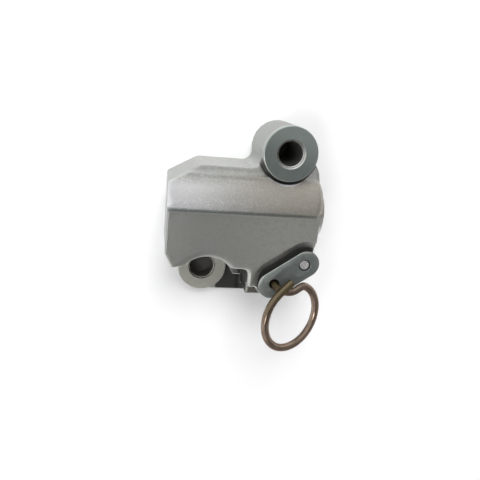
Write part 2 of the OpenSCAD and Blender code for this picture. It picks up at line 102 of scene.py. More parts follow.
def placed(turn, place):  # the matrix of an object whose axes are the columns of turn
    return Matrix([list(turn[i]) + [place[i]] for i in range(3)] + [[0, 0, 0, 1]])


def setCamera():  # the object's axes in the camera's, then the eye, as far off as the boss's hole tells
    up = -unit(pixelRay(lens["uprightsMeet"]))
    lean = -math.tan(math.radians(lens["rowSlope"]))
    right, rise, ahead = pixelRay(lens["rowAt"])
    depth = -(up[0] + up[1] * lean) / (up[1] * (lean * right - rise) + up[2])
    across = unit(np.array([1.0, lean + (lean * right - rise) * depth, depth]))
    turn = np.stack([across, np.cross(up, across), up])
    holeWidth = 2 * mounts["upper_bolt_hole"]["dims"]["r_mm"] * mm
    toBoss = pixelRay(lens["bossAt"]) * lens["focal"] * holeWidth / lens["holePixels"]
    height = -(toBoss @ up) / (1 - lens["bossShare"])
    eye = np.array([0, 0, height * lens["bossShare"]]) - turn @ toBoss
    camera = bpy.data.cameras.new("eye")
    camera.sensor_width = 36
    camera.lens = camera.sensor_width * lens["focal"] / lens["frame"]
    camera.clip_start = 0.005
    holder = bpy.data.objects.new("eye", camera)
    holder.matrix_world = placed(turn, eye)
    bpy.context.scene.collection.objects.link(holder)
    bpy.context.scene.camera = holder
    return eye


print("camera at", np.round(setCamera() / mm, 1), "mm")


# Shader maths: a Wire is a value on its way through a node tree, and an expression on Wires adds Math nodes
class Wire:
    def __init__(self, sheet, socket):
        self.sheet = sheet
        self.socket = socket

    def join(self, operation, first, second):
        return self.sheet.node("ShaderNodeMath", {"operation": operation}, {0: first, 1: second})

    def __add__(self, other):
        return self.join("ADD", self, other)

    def __radd__(self, other):
        return self.join("ADD", other, self)

    def __sub__(self, other):
        return self.join("SUBTRACT", self, other)

    def __rsub__(self, other):
        return self.join("SUBTRACT", other, self)

    def __mul__(self, other):
        return self.join("MULTIPLY", self, other)

    def __rmul__(self, other):
        return self.join("MULTIPLY", other, self)

    def __pow__(self, other):
        return self.join("POWER", self, other)

    def least(self, other):
        return self.join("MINIMUM", self, other)

    def most(self, other):
        return self.join("MAXIMUM", self, other)


class Sheet:  # a node tree, and the one method that adds a node to it
    def __init__(self, tree):
        self.tree = tree

    def node(self, kind, settings=None, links=None, output=0):
        made = self.tree.nodes.new(kind)
        for key, value in (settings or {}).items():
            setattr(made, key, value)
        for key, value in (links or {}).items():
            self.feed(made.inputs[key], value)
        return Wire(self, made.outputs[output])

    def feed(self, socket, value):
        if isinstance(value, Wire):
            self.tree.links.new(value.socket, socket)
        else:
            socket.default_value = value

    def split(self, vector):
        return [self.node("ShaderNodeSeparateXYZ", links={0: vector}, output=i) for i in range(3)]

    def ease(self, value, start, end):  # 0 before start, 1 after end, smooth between
        if start > end:
            return 1 - self.ease(value, end, start)
        return self.node("ShaderNodeMapRange", {"interpolation_type": "SMOOTHSTEP"},
                         {0: value, 1: start, 2: end, 3: 0.0, 4: 1.0})

    def size(self, value):
        return self.node("ShaderNodeMath", {"operation": "ABSOLUTE"}, {0: value})

    def band(self, value, centre, half, soft):  # 1 within half of centre, falling to 0 over soft
        return self.ease(self.size(value - centre), half + soft, half)

    def mix(self, amount, low, high):
        return self.node("ShaderNodeMix", {"data_type": "RGBA"}, {0: amount, 6: low, 7: high}, 2)


class Paint(Sheet):  # one material: its Principled shader and its Object coordinates
    def __init__(self, name, **fixed):
        self.material = bpy.data.materials.new(name)
        self.material.use_nodes = True
        super().__init__(self.material.node_tree)
        self.shader = self.tree.nodes["Principled BSDF"]
        for socket, value in fixed.items():
            self.shader.inputs[socket.replace("_", " ")].default_value = value
        self.place = self.node("ShaderNodeTexCoord", output="Object")
        self.x, self.y, self.z = self.split(self.place)

    def set(self, socket, value):
        self.feed(self.shader.inputs[socket], value)

    def noise(self, scale, detail=2.0, rough=0.5, vector=None):
        return self.node("ShaderNodeTexNoise", {}, {"Vector": vector or self.place, "Scale": scale,
                                                   "Detail": detail, "Roughness": rough})

    def cells(self, scale):  # a random value for each small cell
        colour = self.node("ShaderNodeTexVoronoi", {}, {"Vector": self.place, "Scale": scale}, "Color")
        return self.node("ShaderNodeSeparateColor", {}, {0: colour})

    def stretch(self, scale, vector=None):
        return self.node("ShaderNodeMapping", {}, {"Vector": vector or self.place, "Scale": scale})

    def round(self, centre):  # distance from an upright axis through centre, in metres
        return ((self.x - centre[0]) ** 2.0 + (self.y - centre[1]) ** 2.0) ** 0.5

    def bump(self, height, depth, strength):
        return self.node("ShaderNodeBump", {}, {"Height": height, "Distance": depth, "Strength": strength})


# Finish of the casting: grainy as-cast skin, with a painted highlight on the barrel's left, painted glints, and
# painted shade in the holes, hollows, notch and crease and on some walls
cast = {"skin": tone(204, 206, 202), "skinDark": tone(188, 189, 184), "mauve": tone(198, 190, 200),
        "olive": tone(190, 190, 176), "glint": tone(250, 250, 255), "hole": tone(140, 140, 135),
        "hollow": tone(58, 58, 53), "step": tone(104, 102, 92), "barrelHighlight": tone(226, 226, 227),
        "barrelLightAndShade": tone(178, 172, 162), "faceLeft": tone(166, 167, 160), "faceRight": tone(224, 224, 215),
        "wall": tone(150, 152, 150), "deep": tone(44, 44, 40), "crease": tone(116, 124, 124)}
share = {"recess": 0.85, "groove": 0.5, "gap": 0.9, "ledge": 0.8, "flange": 0.85, "step": 0.7, "crease": 0.7,
         "lip": 0.8, "bossWall": 0.6, "westWall": 0.3, "endWall": 0.75, "barrelLightAndShade": 0.9, "face": 0.6,
         "faceGrain": 0.4}  # how far each colour covers the skin
grain = {"fine": 1000.0, "broad": 240.0, "mauve": 1100.0, "olive": 900.0, "face": 1000.0, "cells": 3300.0,
         "bump": 2600.0, "bumpDeep": 0.06 * mm}
barrel = lengths(low=-17.6, high=-16.4)
barrelLightAndShade = lengths(left=-29.0, right=5.0, brightTo=-9.0, top=-8.5, topFull=-10.5, above=17.6, aboveFull=18.6)
crease = lengths(y=-16.75, half=0.3, soft=0.7, end=9.6, endFull=9.0, low=19.6, high=20.4)
mainFace = lengths(low=19.0, high=20.0, left=-26.0, right=6.0)
shadedWall = lengths(top=17.8, full=17.0, south=-16.0, north=-14.0, bossOut=2.5, bossIn=0.4, west=-23.0,
                   westFull=-26.0, end=-31.6, endFull=-32.2, endSouth=-18.0)
bolt = {"r": mounts["upper_bolt_hole"]["dims"]["r_mm"] * mm, "chamfer": 0.7 * mm}
boss = lengths(r=7.6, groove=0.9, grooveHalf=0.495, grooveSoft=0.15, grooveTop=19.3, grooveFull=18.7,
               grooveLow=15.6, grooveFloor=16.0, north=-1.6, south=-2.4, lip=0.15, lipHalf=0.1, lipLow=18.2,
               lipHigh=18.7)
ear = lengths(r=7.55, soft=0.2)
notch = lengths(left=-15.2, right=-8.0, top=-33.6, soft=0.3, high=14.6, highFull=13.4, ledge=16.2,
                ledgeFull=15.8, post=-9.4, postHalf=1.5, postHigh=19.8, postFull=18.4, postTop=-34.0,
                postTopFull=-34.6, lowHalf=3.4, lowSoft=1.0, low=11.4, lowFull=10.6)
hollow = lengths(half=4.2, soft=2.7, high=20.2, highSoft=0.25)
foot = lengths(left=-9.5, leftFull=-8.5, top=-38.0, topFull=-39.0, high=13.1, highFull=12.6)
flank = lengths(low=-16.6, lowFull=-15.6, high=-12.4, highFull=-13.9, left=-30.0, right=-2.0)
unshadedSide = {"south": (-0.6, -0.3), "east": (0.6, 0.3)}  # how far a wall faces there before it gets no painted shade


def fromLever(paint):  # distance from the line between the lever's two holes, in metres
    across, up = math.cos(leverWay["angle"]), math.sin(leverWay["angle"])
    east, north = paint.x - pivot[0], paint.y - pivot[1]
    half = leverWay["reach"] / 2
    past = paint.size(east * across + north * up - half).most(half) - half
    aside = north * across - east * up
    return (past * past + aside * aside) ** 0.5


def holeDistances(paint):  # distances from the axes of the upper and the lower bolt hole, in metres
    return [paint.round(mounts[name]["pos_m"]) for name in ("upper_bolt_hole", "lower_bolt_hole")]


def shadedSides(paint):  # 1 except on walls that face south or east, which get no painted shade
    facing = paint.split(paint.node("ShaderNodeTexCoord", output="Normal"))
    return paint.ease(facing[1], *unshadedSide["south"]) * paint.ease(facing[0], *unshadedSide["east"])


def recessMask(paint):  # painted shade in the hollow under the lever
    near = paint.ease(fromLever(paint), hollow["half"] + hollow["soft"], hollow["half"])
    return near * paint.ease(paint.z, hollow["high"] + hollow["highSoft"], hollow["high"])


def grooveMask(paint, fromUpper):  # painted shade in the groove below the boss's disc, on its south side
    ring = paint.band(fromUpper, boss["r"] + boss["groove"] / 2, boss["grooveHalf"], boss["grooveSoft"])
    ring = ring * paint.ease(paint.z, boss["grooveTop"], boss["grooveFull"])
    ring = ring * paint.ease(paint.z, boss["grooveLow"], boss["grooveFloor"])
    return ring * paint.ease(paint.y, boss["north"], boss["south"])


def lipMask(paint, fromUpper):  # painted highlight on the thin lip outside the groove
    ring = paint.band(fromUpper, boss["r"] + boss["groove"] + boss["lip"], boss["lipHalf"], boss["lipHalf"])
    ring = ring * paint.ease(paint.y, boss["north"], boss["south"])
    return ring * paint.ease(paint.z, boss["lipLow"], boss["lipHigh"])


def notchMask(paint, fromLower):  # painted shade in the deep notch, on its ledge, on the flange below it and on the post beside it
    south = paint.ease(paint.y, notch["top"] + notch["soft"], notch["top"])
    middle, half = (notch["left"] + notch["right"]) / 2, (notch["right"] - notch["left"]) / 2
    gap = paint.band(paint.x, middle, half, notch["soft"]) * south
    gap = gap * paint.ease(fromLower, ear["r"], ear["r"] + ear["soft"])
    ledge = gap * paint.ease(paint.z, notch["ledge"], notch["ledgeFull"]) * share["ledge"]
    gap = (gap * paint.ease(paint.z, notch["high"], notch["highFull"])).most(ledge)
    low = paint.band(paint.x, notch["post"], notch["lowHalf"], notch["lowSoft"])
    low = low * paint.ease(paint.z, notch["low"], notch["lowFull"])
    gap = gap.most(low * south * share["flange"])
    post = paint.band(paint.x, notch["post"], notch["postHalf"], notch["soft"])
    post = post * paint.ease(paint.z, notch["postHigh"], notch["postFull"])
    return gap.most(post * paint.ease(paint.y, notch["postTop"], notch["postTopFull"]))


def footMask(paint):  # painted shade on the step of the foot
    shelf = paint.ease(paint.x, foot["left"], foot["leftFull"])
    shelf = shelf * paint.ease(paint.y, foot["top"], foot["topFull"])
    return shelf * paint.ease(paint.z, foot["high"], foot["highFull"])


def wallMask(paint, fromUpper):  # painted shade on walls: beside the boss, in the north-west and at the west end
    low = paint.ease(paint.z, shadedWall["top"], shadedWall["full"])
    low = low * paint.ease(paint.y, shadedWall["south"], shadedWall["north"])
    beside = paint.ease(fromUpper, boss["r"] + shadedWall["bossOut"], boss["r"] + shadedWall["bossIn"])
    west = paint.ease(paint.x, shadedWall["west"], shadedWall["westFull"])
    end = paint.ease(paint.x, shadedWall["end"], shadedWall["endFull"])
    end = end * paint.ease(paint.y, shadedWall["south"], shadedWall["endSouth"])
    return (low * (beside * share["bossWall"]).most(west * share["westWall"])).most(end * share["endWall"])


def creaseMask(paint):  # painted shade in the band along the foot of the barrel
    line = paint.band(paint.y, crease["y"], crease["half"], crease["soft"])
    line = line * paint.ease(paint.z, crease["low"], crease["high"])
    return line * paint.ease(paint.x, crease["end"], crease["endFull"])


def skinColour(paint, fine, roll):  # light and dark grain, with mauve on the rolled flank and olive elsewhere
    broad = paint.noise(grain["broad"], 3.0, 0.5)
    skin = paint.mix(paint.ease(fine * 0.75 + broad * 0.25, 0.36, 0.64), cast["skinDark"], cast["skin"])
    mauve = paint.ease(paint.noise(grain["mauve"], 2.0), 0.5, 0.72) * (0.4 + 0.5 * roll)
    olive = paint.ease(paint.noise(grain["olive"], 3.0), 0.5, 0.75) * 0.5 * (1 - roll)
    return paint.mix(olive, paint.mix(mauve, skin, cast["mauve"]), cast["olive"])


def barrelColour(paint, skin, hump):  # painted highlight on the barrel's left, painted shade towards its right
    left = paint.ease(paint.x, barrelLightAndShade["brightTo"], barrelLightAndShade["left"])
    left = left * paint.ease(paint.y, barrelLightAndShade["top"], barrelLightAndShade["topFull"])
    skin = paint.mix(hump * left, skin, cast["barrelHighlight"])
    right = paint.ease(paint.x, barrelLightAndShade["left"], barrelLightAndShade["right"])
    return paint.mix(hump * right * share["barrelLightAndShade"], skin, cast["barrelLightAndShade"])


def faceColour(paint, skin, onBarrel):  # the main face, with painted light that makes it lighter towards the right, and duller grains
    onFace = (1 - onBarrel) * paint.ease(paint.z, mainFace["low"], mainFace["high"])
    across = paint.ease(paint.x, mainFace["left"], mainFace["right"])
    skin = paint.mix(onFace * share["face"], skin, paint.mix(across, cast["faceLeft"], cast["faceRight"]))
    grains = paint.ease(paint.noise(grain["face"], 3.0, 0.65), 0.42, 0.7)
    return paint.mix(onFace * grains * share["faceGrain"], skin, cast["wall"])


def castPaint():
    paint = Paint("castMetal", Metallic=0.85)
    fromUpper, fromLower = holeDistances(paint)
    inner = shadedSides(paint)
    gap = notchMask(paint, fromLower) * inner
    recess = recessMask(paint) * inner
    onBarrel = paint.ease(paint.y, barrel["low"], barrel["high"])
    hump = onBarrel * paint.ease(paint.z, barrelLightAndShade["above"], barrelLightAndShade["aboveFull"])
    roll = paint.ease(paint.y, flank["high"], flank["highFull"])
    roll = roll * paint.ease(paint.y, flank["low"], flank["lowFull"])
    roll = roll * paint.ease(paint.x, flank["right"], flank["left"])
    fine = paint.noise(grain["fine"], 3.0, 0.6)
    # painted glints: bright specks, most on the barrel's left and along the rolled flank
    speckle = hump * (0.08 + 0.16 * paint.ease(paint.x, barrelLightAndShade["right"], barrelLightAndShade["left"]))
    glint = paint.ease(paint.cells(grain["cells"]), 0.62, 1.0) * (0.04 + speckle + 0.42 * roll)
    # painted highlight on the barrel's left and painted shade towards its right
    skin = barrelColour(paint, skinColour(paint, fine, roll), hump)
    # painted light across the main face
    skin = faceColour(paint, skin, onBarrel)
    # painted shade on walls
    skin = paint.mix(wallMask(paint, fromUpper), skin, cast["wall"])
    # painted shade in the crease
    skin = paint.mix(creaseMask(paint) * share["crease"], skin, cast["crease"])
    # painted highlight on the lip
    skin = paint.mix(lipMask(paint, fromUpper) * share["lip"], skin, cast["glint"])
    # painted glints
    skin = paint.mix(glint, skin, cast["glint"])
    # painted shade on the foot's step
    skin = paint.mix(footMask(paint) * inner * share["step"], skin, cast["step"])
    # painted shade in the hollow under the lever, in the groove and in the notch
    paintedShade = (recess * share["recess"]).most(grooveMask(paint, fromUpper) * share["groove"])
    colour = paint.mix(gap * share["gap"], paint.mix(paintedShade, skin, cast["hollow"]), cast["deep"])
    # painted shade in the bolt holes
    holes = paint.ease(fromUpper.least(fromLower), bolt["r"] + 0.3 * mm, bolt["r"] + 0.2 * mm)
    paint.set("Base Color", paint.mix(holes, colour, cast["hole"]))
    paint.set("Roughness", 0.37 + 0.2 * onBarrel + (fine - 0.5) * 0.25 - glint * 0.2 + gap * 0.3)
    height = (paint.noise(grain["bump"], 3.0, 0.6) + glint * 1.2) * (0.7 + 1.3 * onBarrel + 0.5 * roll)
    paint.set("Normal", paint.bump(height, grain["bumpDeep"], 0.5))
    return paint.material


# Turned faces round the two bolt holes: faint rings on the face, painted light towards its north, painted light
# and shade on the chamfer, painted highlights on the chamfer's brink and the face's south rim, and painted shade
# in the hole below it
turned = {"bossTurned": {"mount": "upper_bolt_hole", "face": tone(150, 160, 156), "pale": tone(178, 188, 184),
                         "rim": tone(218, 220, 218), "shade": tone(108, 114, 112), "outer": boss["r"],
                         "brinkHighlight": 0.6},
          "earTurned": {"mount": "lower_bolt_hole", "face": tone(232, 231, 220), "pale": tone(242, 242, 231),
                        "rim": tone(74, 71, 62), "shade": tone(40, 38, 33), "outer": ear["r"],
                        "brinkHighlight": 0.0}}
turnedAt = lengths(mouthOut=0.05, mouthIn=0.02, holeSoft=0.05, holeOut=0.2, holeIn=0.1, paleFrom=-4.0,
                   paleFull=7.0, litFrom=-1.6, litFull=3.8, brinkHalf=0.05, brinkSoft=0.08, rimFrom=0.28,
                   rimFull=0.16, south=-2.0)


def dimmed(colour, part):
    return tuple(part * v for v in colour[:3]) + (1.0,)


def turnPaint(name, look):
    paint = Paint(name, Metallic=0.8)
    mount = mounts[look["mount"]]
    fromAxis = paint.round(mount["pos_m"])
    east, north = paint.x - mount["pos_m"][0], paint.y - mount["pos_m"][1]
    mouth = bolt["r"] + bolt["chamfer"]
    low = mount["dims"]["length_mm"] * mm  # where the chamfer meets the hole
    edge = paint.ease(fromAxis, mouth + turnedAt["mouthOut"], mouth - turnedAt["mouthIn"])
    # painted shade in the hole below the chamfer
    deep = paint.ease(paint.z, low + turnedAt["holeSoft"], low - turnedAt["holeSoft"])
    deep = deep * paint.ease(fromAxis, bolt["r"] + turnedAt["holeOut"], bolt["r"] + turnedAt["holeIn"])
    oneWay = {"noise_dimensions": "1D"}
    rings = paint.node("ShaderNodeTexNoise", oneWay, {"W": fromAxis, "Scale": 5200.0, "Detail": 3.0})
    cloud = paint.noise(420.0, 3.0, 0.6)
    colour = paint.mix(paint.ease(cloud, 0.35, 0.7), look["face"], dimmed(look["face"], 0.9))
    # painted light: the face lighter towards its north
    pale = paint.ease(north + east * 0.4, turnedAt["paleFrom"], turnedAt["paleFull"])
    colour = paint.mix(pale, colour, look["pale"])
    lit = paint.ease(east * 0.6 - north, turnedAt["litFrom"], turnedAt["litFull"])  # painted light on the chamfer's lit side, painted shade on the other
    colour = paint.mix(edge, colour, paint.mix(lit, look["shade"], look["rim"]))
    # painted highlights on the chamfer's brink and on the face's south rim
    brink = paint.band(fromAxis, mouth, turnedAt["brinkHalf"], turnedAt["brinkSoft"])
    rim = paint.ease(fromAxis, look["outer"] - turnedAt["rimFrom"], look["outer"] - turnedAt["rimFull"])
    rim = rim * paint.ease(north, 0.0, turnedAt["south"]) * 0.8
    colour = paint.mix((brink * look["brinkHighlight"]).most(rim), colour, cast["skin"])
    paint.set("Base Color", paint.mix(deep, colour, cast["hole"]))
    paint.set("Roughness", 0.34 + (rings - 0.5) * 0.12 + (cloud - 0.5) * 0.1 - edge * 0.06)
    paint.set("Normal", paint.bump(rings * (1 - edge), 0.006 * mm, 0.4))
    return paint.material


# Dark plated lever steel with light flecks, a painted highlight along its upper edge, a painted shadow round the
# staked pivot and painted shade on its sides
plate = {"tone": tone(150, 158, 154), "shade": tone(130, 134, 136), "worn": tone(222, 224, 221),
         "shadeTone": tone(28, 28, 26), "r": 3.9 * mm, "top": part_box("release_lever")[1].z, "staked": 1.6 * mm}


def platePaint():
    paint = Paint("platedSteel", Metallic=0.8)
    cloud = paint.ease(paint.noise(260.0, 4.0, 0.6), 0.3, 0.75)
    colour = paint.mix(cloud, plate["tone"], plate["shade"])
    fleck = paint.ease(paint.noise(2400.0, 3.0, 0.6), 0.62, 0.8)
    # painted highlight along the upper edge
    edge = paint.ease(fromLever(paint), plate["r"] - 0.24 * mm, plate["r"] - 0.14 * mm)
    edge = edge * paint.ease(paint.z, plate["top"] - 0.3 * mm, plate["top"] - 0.15 * mm)
    east, north = paint.x - pivot[0], paint.y - pivot[1]
    upper = north * -math.cos(leverWay["angle"]) + east * math.sin(leverWay["angle"])
    edge = edge * (0.15 + 0.85 * paint.ease(upper, 1.5 * mm, 3.2 * mm))
    # painted shadow in a ring round the pivot, on its north-west side
    staked = paint.band(paint.round(pivot), plate["staked"], 0.12 * mm, 0.08 * mm)
    staked = staked * paint.ease(east - north, 1.4 * mm, -1.0 * mm)
    # light flecks, and the painted highlight along the upper edge
    colour = paint.mix((fleck * 0.25).most(edge * 0.6), colour, plate["worn"])
    # painted shade on the sides
    side = paint.ease(paint.z, plate["top"] - 0.15 * mm, plate["top"] - 0.35 * mm)
    paint.set("Base Color", paint.mix((staked * 0.95).most(side * 0.8), colour, plate["shadeTone"]))
    paint.set("Roughness", 0.36 + cloud * 0.08 + fleck * 0.1)
    paint.set("Normal", paint.bump(paint.noise(1500.0, 3.0, 0.6), 0.02 * mm, 0.4))
    return paint.material


# Brown tempered wire: die lines along it, plum brown round the ring, olive towards the free end and painted shade
# near its foot
temper = {"olive": tone(116, 105, 82), "brown": tone(160, 141, 126), "plum": tone(136, 119, 107),
          "shadeTone": tone(74, 66, 50), "edge": tone(110, 95, 90), "oliveFrom": 5.6, "oliveFull": 7.0}


def temperPaint():
    paint = Paint("temperedWire", Metallic=0.9, Specular_Tint=temper["edge"])
    along = paint.node("ShaderNodeUVMap", {"uv_map": "wire"})
    length = paint.split(along)[0]  # in centimetres from the foot
    lines = paint.noise(1.0, 3.0, 0.6, paint.stretch((2.0, 40.0, 1.0), along))
    drift = paint.noise(160.0, 3.0, 0.6)
    colour = paint.mix(paint.ease(drift + (lines - 0.5) * 0.3, 0.38, 0.62), temper["brown"], temper["plum"])
    colour = paint.mix(paint.ease(length, temper["oliveFrom"], temper["oliveFull"]), colour, temper["olive"])
    # painted shade on the wire near its foot, inside the lever's hole
    colour = paint.mix(paint.ease(length, 1.0, 0.65), colour, temper["shadeTone"])
    paint.set("Base Color", colour)
    paint.set("Roughness", 0.17 + (lines - 0.5) * 0.12 + (drift - 0.5) * 0.1)
    paint.set("Normal", paint.bump(lines + paint.noise(2500.0, 2.0) * 0.5, 0.02 * mm, 0.35))
    return paint.material


# Bright steel, ground or turned, with marks along one way
steel = {"ground": tone(208, 209, 210), "pin": tone(200, 200, 198), "spring": tone(150, 152, 156),
         "pressed": tone(200, 194, 178)}


def steelPaint(name, tint, rough, scratches, depth=0.01, metal=1.0):
    paint = Paint(name, Metallic=metal)
    marks = paint.noise(1.0, 3.0, 0.65, paint.stretch(scratches))
    cloud = paint.noise(300.0, 3.0)
    worn = paint.ease(marks + (cloud - 0.5) * 0.6, 0.35, 0.75)
    paint.set("Base Color", paint.mix(worn, tint, dimmed(tint, 0.72)))
    paint.set("Roughness", rough + (marks - 0.5) * 0.2)
    paint.set("Normal", paint.bump(marks, depth * mm, 0.4))
    return paint.material


castMetal = castPaint()
bossTurned, earTurned = [turnPaint(name, look) for name, look in turned.items()]
platedSteel = platePaint()
temperedWire = temperPaint()
groundSteel = steelPaint("groundSteel", steel["ground"], 0.26, (6000.0, 300.0, 300.0))
pinSteel = steelPaint("pinSteel", steel["pin"], 0.38, (2600.0, 2600.0, 400.0), 0.03, 0.6)
springSteel = steelPaint("springSteel", steel["spring"], 0.35, (1500.0, 1500.0, 1500.0))
pressedSteel = steelPaint("pressedSteel", steel["pressed"], 0.4, (900.0, 900.0, 900.0))
print("finishes:", len(bpy.data.materials))


# Meshes
def makePiece(name, vertices, faces, finish, body, replaced=()):
    mesh = bpy.data.meshes.new(name)
    mesh.from_pydata(vertices.reshape(-1, 3).tolist(), [], faces)
    return finishPiece(name, mesh, finish, body, replaced)


def finishPiece(name, mesh, finish, body, replaced=()):
    mesh.materials.clear()
    mesh.materials.append(finish)
    piece = bpy.data.objects.new(name, mesh)
    bpy.context.scene.collection.objects.link(piece)
    mesh.shade_smooth()
    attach(piece, body)
    if replaced:
        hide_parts(*replaced)
    return piece


def tidyMesh(mesh, merge=1e-6):  # close seams and poles, then point the faces outwards
    work = bmesh.new()
    work.from_mesh(mesh)
    bmesh.ops.remove_doubles(work, verts=work.verts, dist=merge)
    bmesh.ops.recalc_face_normals(work, faces=work.faces)
    work.to_mesh(mesh)
    work.free()


def gridFaces(rows, columns):  # quads between neighbours, the last column joined to the first
    row, column = np.meshgrid(np.arange(rows - 1), np.arange(columns), indexing="ij")
    after = (column + 1) % columns
    here, above = row * columns, (row + 1) * columns
    corners = [here + column, here + after, above + after, above + column]
    return np.stack(corners, -1).reshape(-1, 4).tolist()


def mergedCopy(node):  # a copy of a solid's mesh with its loose triangles joined
    mesh = frame["nodes"][node].data.copy()
    tidyMesh(mesh)
    return mesh


def applied(name, mesh, kind, settings):  # the mesh after one modifier
    holder = bpy.data.objects.new(name, mesh)
    bpy.context.scene.collection.objects.link(holder)
    added = holder.modifiers.new(kind, kind)
    for key, value in settings.items():
        setattr(added, key, value)
    graph = bpy.context.evaluated_depsgraph_get()
    made = bpy.data.meshes.new_from_object(holder.evaluated_get(graph))
    bpy.data.objects.remove(holder)
    made.name = name
    return made


def relax(points, pairs, weight, passes):  # each point moves towards the mean of its neighbours by its weight
    ends = np.concatenate([pairs, pairs[:, ::-1]])
    count = np.maximum(np.bincount(ends[:, 0], minlength=len(points)), 1)[:, None]
    for turn in range(passes):
        mean = [np.bincount(ends[:, 0], points[ends[:, 1], axis], len(points)) for axis in range(3)]
        points = points + weight[:, None] * (np.stack(mean, -1) / count - points)
    return points


# The casting: the solid re-skinned in small even faces and relaxed to cast radii, most at the rims
casting = {"cell": 0.345 * mm, "relax": 0.5, "passes": 2, "rimPasses": 26, "rimAbove": 16.5 * mm,
           "inset": 0.15 * mm, "pocketOut": 10.4 * mm, "notchLeft": -16.0 * mm, "notchRight": -5.6 * mm,
           "notchTop": -32.0 * mm, "rollLow": -18.0 * mm, "rollHigh": -12.5 * mm, "rollAbove": 20.9 * mm}
rings = {"boss": {"mount": "upper_bolt_hole", "r": boss["r"], "deep": 1.3 * mm, "edge": 0.14 * mm},
         "ear": {"mount": "lower_bolt_hole", "r": ear["r"], "deep": 1.0 * mm, "edge": 0.2 * mm}}
ringSides = 128


def ringTop(ring):
    return mounts[ring["mount"]]["dims"]["length_mm"] * mm + bolt["chamfer"]


def makeCasting():
    cells = {"mode": "VOXEL", "voxel_size": casting["cell"]}
    skin = applied("casting", mergedCopy("housing"), "REMESH", cells)
    points = np.zeros(len(skin.vertices) * 3, np.float32)
    skin.vertices.foreach_get("co", points)
    points = points.reshape(-1, 3).astype(float)
    pairs = np.zeros(len(skin.edges) * 2, np.int32)
    skin.edges.foreach_get("vertices", pairs)
    pairs = pairs.reshape(-1, 2)
    points = relax(points, pairs, np.full(len(points), casting["relax"]), casting["passes"])
    x, y, z = points.T
    earAt = mounts["lower_bolt_hole"]["pos_m"]
    pocket = np.hypot(x - earAt[0], y - earAt[1]) < casting["pocketOut"]
    beside = (x > casting["notchLeft"]) & (x < casting["notchRight"]) & (y < casting["notchTop"])
    shoulder = (y > casting["rollLow"]) & (y < casting["rollHigh"]) & (z > casting["rollAbove"])
    rims = ((pocket | beside) & (z > casting["rimAbove"])) | shoulder
    points = relax(points, pairs, casting["relax"] * rims, casting["rimPasses"])
    for ring in rings.values():
        sink(points, ring)
    points = np.clip(points, np.array(cadBox[0]), np.array(cadBox[1]))
    skin.vertices.foreach_set("co", points.astype(np.float32).ravel())
    finishPiece("casting", skin, castMetal, "housing", ["housing"])
    print("casting:", len(skin.polygons), "faces")


def sink(points, ring):  # draw the skin in below a turned ring, so that only the ring is seen there
    centre = np.array(mounts[ring["mount"]]["pos_m"][:2])
    away = points[:, :2] - centre
    far = np.maximum(np.linalg.norm(away, axis=1), 1e-9)
    top = ringTop(ring)
    held = (far < ring["r"] + 0.25 * mm) & (far > bolt["r"] - 0.4 * mm)
    held &= (points[:, 2] > top - ring["deep"] + 0.1 * mm) & (points[:, 2] < top + 0.4 * mm)
    inner = np.clip(far, bolt["r"] + casting["inset"], ring["r"] - casting["inset"])
    points[held, :2] = centre + away[held] * (inner / far)[held, None]
    points[held, 2] = np.minimum(points[held, 2], top - casting["inset"])


def makeRing(name, ring, finish):
    # a closed profile turned round the bolt's axis: up the hole, over chamfer and face, down the edge, back
    top = ringTop(ring)
    low = top - ring["deep"]
    inner, outer, edge = bolt["r"], ring["r"], ring["edge"]
    brink = outer - edge - 0.1 * mm  # keeps the face flat up to its edge
    mouth = inner + bolt["chamfer"]
    out = np.array([inner, inner, mouth, brink, outer - edge, outer - edge / 3, outer, outer, inner])
    climb = np.array([low, top - bolt["chamfer"], top, top, top, top - edge / 3, top - edge, low, low])
    turn = np.linspace(0, 2 * np.pi, ringSides, endpoint=False)
    centre = mounts[ring["mount"]]["pos_m"]
    points = np.stack([centre[0] + out[:, None] * np.cos(turn), centre[1] + out[:, None] * np.sin(turn),
                       np.repeat(climb[:, None], ringSides, 1)], -1)
    faces = gridFaces(len(out), ringSides)
    mesh = makePiece(name, points, faces, finish, "housing").data
    tidyMesh(mesh)
    mesh.shade_smooth()
    mesh.set_sharp_from_angle(angle=math.radians(28))
    print(name + ":", len(mesh.polygons), "faces")


# The lever: the punched plate with its edges rolled over
lever = {"edge": 0.2 * mm, "steps": 3, "flat": 1.0, "corner": 50.0}


def makeLever():
    mesh = mergedCopy("release_lever")
    work = bmesh.new()
    work.from_mesh(mesh)
    flat = math.radians(lever["flat"])
    bmesh.ops.dissolve_limit(work, angle_limit=flat, verts=work.verts, edges=work.edges)
    work.to_mesh(mesh)
    work.free()
    piece = finishPiece("releaseLever", mesh, platedSteel, "lever", ["release_lever"])
    bevel = piece.modifiers.new("rolledEdge", "BEVEL")
    bevel.width = lever["edge"]
    bevel.segments = lever["steps"]
    bevel.limit_method = "ANGLE"
    bevel.angle_limit = math.radians(lever["corner"])
    bevel.harden_normals = True
    print("lever:", len(mesh.polygons), "faces before its edges")


# The stop pin: one wire, up its leg, over the lever and round the pull ring
pin = {"sides": 24, "way": (1.0, 0.12, -0.1), "tilt": 28.0, "start": 66.0, "sweep": 300.0}
pin |= lengths(wire=1.105, foot=15.45, bendFrom=2.0, run=5.0, dip=1.7, fall=0.05, bendPull=3.2, neckPull=1.5,
               lap=0.4, ringAcross=5.6, ringDown=9.2, ringR=9.75, tail=5.5, tailLift=0.3, over=1.45, rise=0.6,
               endRound=0.15)


def curve(a, b, c, d, steps):  # a cubic curve from a to d, pulled towards b and c
    s = np.linspace(0, 1, steps, endpoint=False)[:, None]
    return (1 - s) ** 3 * a + 3 * s * (1 - s) ** 2 * b + 3 * s * s * (1 - s) * c + s ** 3 * d


